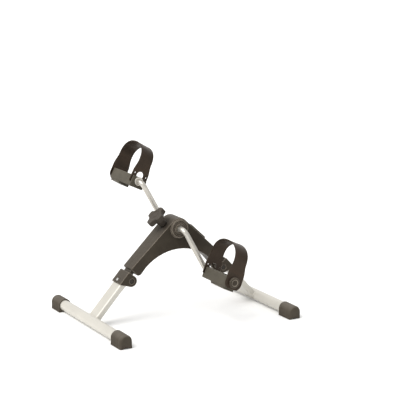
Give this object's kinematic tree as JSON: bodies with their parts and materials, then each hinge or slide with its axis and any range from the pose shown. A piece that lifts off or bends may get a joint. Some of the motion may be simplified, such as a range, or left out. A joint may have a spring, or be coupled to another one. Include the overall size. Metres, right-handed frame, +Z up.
{
  "type": "pedal exerciser",
  "caption": "Folding pedal exerciser: arched housing, bent crank, strapped pedals, tension knob and turn counter, on fold-in legs with rubber-capped floor bars.",
  "frame": {"origin": "on the floor at the centre of the footprint, under the crank axle", "axes": "+X forward, away from the seated user and toward the knob side; +Y to the user's left, along the crank axle; +Z up"},
  "size_m": [0.4934, 0.39, 0.4132],
  "materials": {
    "housing_plastic": "fine textured black moulding",
    "pedal_plastic": "black moulding",
    "strap_rubber": "smooth brown-black flexible strap",
    "cap_rubber": "dull dark grey rubber",
    "knob_plastic": "dark grey moulding",
    "frame_silver": "silver powder coat",
    "crank_chrome": "bright plating",
    "plain_steel": "zinc-plated steel",
    "dark_steel": "blackened steel",
    "nylon": "natural nylon",
    "lens": "grey display window"
  },
  "bodies": {
    "housing": {"housing_left_shell": "housing_plastic", "housing_right_shell": "housing_plastic", "housing_screw_middle": "dark_steel", "housing_screw_front": "dark_steel", "housing_screw_rear": "dark_steel", "left_boss_cover": "housing_plastic", "right_boss_cover": "housing_plastic", "left_axle_bush": "nylon", "right_axle_bush": "nylon", "front_hinge_tongue": "housing_plastic", "rear_hinge_tongue": "housing_plastic", "knob_washer": "dark_steel", "counter_case": "housing_plastic", "counter_lens": "lens"},
    "front_leg": {"front_collar": "housing_plastic", "front_hinge_pin": "dark_steel", "front_leg_tube": "frame_silver", "front_leg_bracket": "plain_steel", "front_button_spring": "plain_steel", "front_floor_bar": "frame_silver", "front_left_foot_cap": "cap_rubber", "front_right_foot_cap": "cap_rubber"},
    "front_button": {"front_snap_button": "plain_steel"},
    "rear_leg": {"rear_collar": "housing_plastic", "rear_hinge_pin": "dark_steel", "rear_leg_tube": "frame_silver", "rear_leg_bracket": "plain_steel", "rear_button_spring": "plain_steel", "rear_floor_bar": "frame_silver", "rear_left_foot_cap": "cap_rubber", "rear_right_foot_cap": "cap_rubber"},
    "rear_button": {"rear_snap_button": "plain_steel"},
    "crank": {"crank_rod": "crank_chrome", "brake_drum": "plain_steel", "left_spindle_collar": "crank_chrome", "right_spindle_collar": "crank_chrome", "left_push_nut": "plain_steel", "right_push_nut": "plain_steel"},
    "left_pedal": {"left_pedal": "pedal_plastic", "left_pedal_sleeve": "nylon", "left_pedal_strap": "strap_rubber", "left_pedal_end_cap": "pedal_plastic"},
    "right_pedal": {"right_pedal": "pedal_plastic", "right_pedal_sleeve": "nylon", "right_pedal_strap": "strap_rubber", "right_pedal_end_cap": "pedal_plastic"},
    "knob": {"tension_knob": "knob_plastic", "tension_screw": "plain_steel"},
    "brake_shoe": {"brake_shoe": "nylon", "shoe_nut": "plain_steel"},
    "reset_button": {"counter_reset_button": "cap_rubber"}
  },
  "joints": [
    {"name": "crank_spin", "type": "hinge", "parent": "housing", "child": "crank", "pos_m": [0, 0, 0.22], "axis": [0, 1, 0], "continuous": true},
    {"name": "left_pedal_spin", "type": "hinge", "parent": "crank", "child": "left_pedal", "pos_m": [-0.0563, 0.132, 0.1163], "axis": [0, 1, 0], "continuous": true},
    {"name": "right_pedal_spin", "type": "hinge", "parent": "crank", "child": "right_pedal", "pos_m": [0.0563, -0.132, 0.3237], "axis": [0, 1, 0], "continuous": true},
    {"name": "front_leg_fold", "type": "hinge", "parent": "housing", "child": "front_leg", "pos_m": [0.12802, 0, 0.10403], "axis": [0, 1, 0], "range_deg": [0, 100]},
    {"name": "rear_leg_fold", "type": "hinge", "parent": "housing", "child": "rear_leg", "pos_m": [-0.12802, 0, 0.10403], "axis": [0, -1, 0], "range_deg": [0, 100]},
    {"name": "front_button_press", "type": "slide", "parent": "front_leg", "child": "front_button", "axis": [-0.7373, 0, -0.6756], "range_m": [0, 0.006], "stiffness_N_per_m": 1200, "springref_m": -0.001},
    {"name": "rear_button_press", "type": "slide", "parent": "rear_leg", "child": "rear_button", "axis": [0.7373, 0, -0.6756], "range_m": [0, 0.006], "stiffness_N_per_m": 1200, "springref_m": -0.001},
    {"name": "knob_turn", "type": "hinge", "parent": "housing", "child": "knob", "pos_m": [0.01128, 0, 0.20937], "axis": [-0.6858, 0, -0.7278], "range_deg": [0, 240]},
    {"name": "shoe_slide", "type": "slide", "parent": "housing", "child": "brake_shoe", "axis": [-0.6858, 0, -0.7278], "range_m": [0, 0.00101]},
    {"name": "reset_press", "type": "slide", "parent": "housing", "child": "reset_button", "axis": [0.6858, 0, -0.7278], "range_m": [0, 0.0008], "stiffness_N_per_m": 900, "springref_m": -0.0005}
  ],
  "couplings": [
    {"joint": "shoe_slide", "follows": "knob_turn", "m_per_rad": 0.0002387}
  ]
}
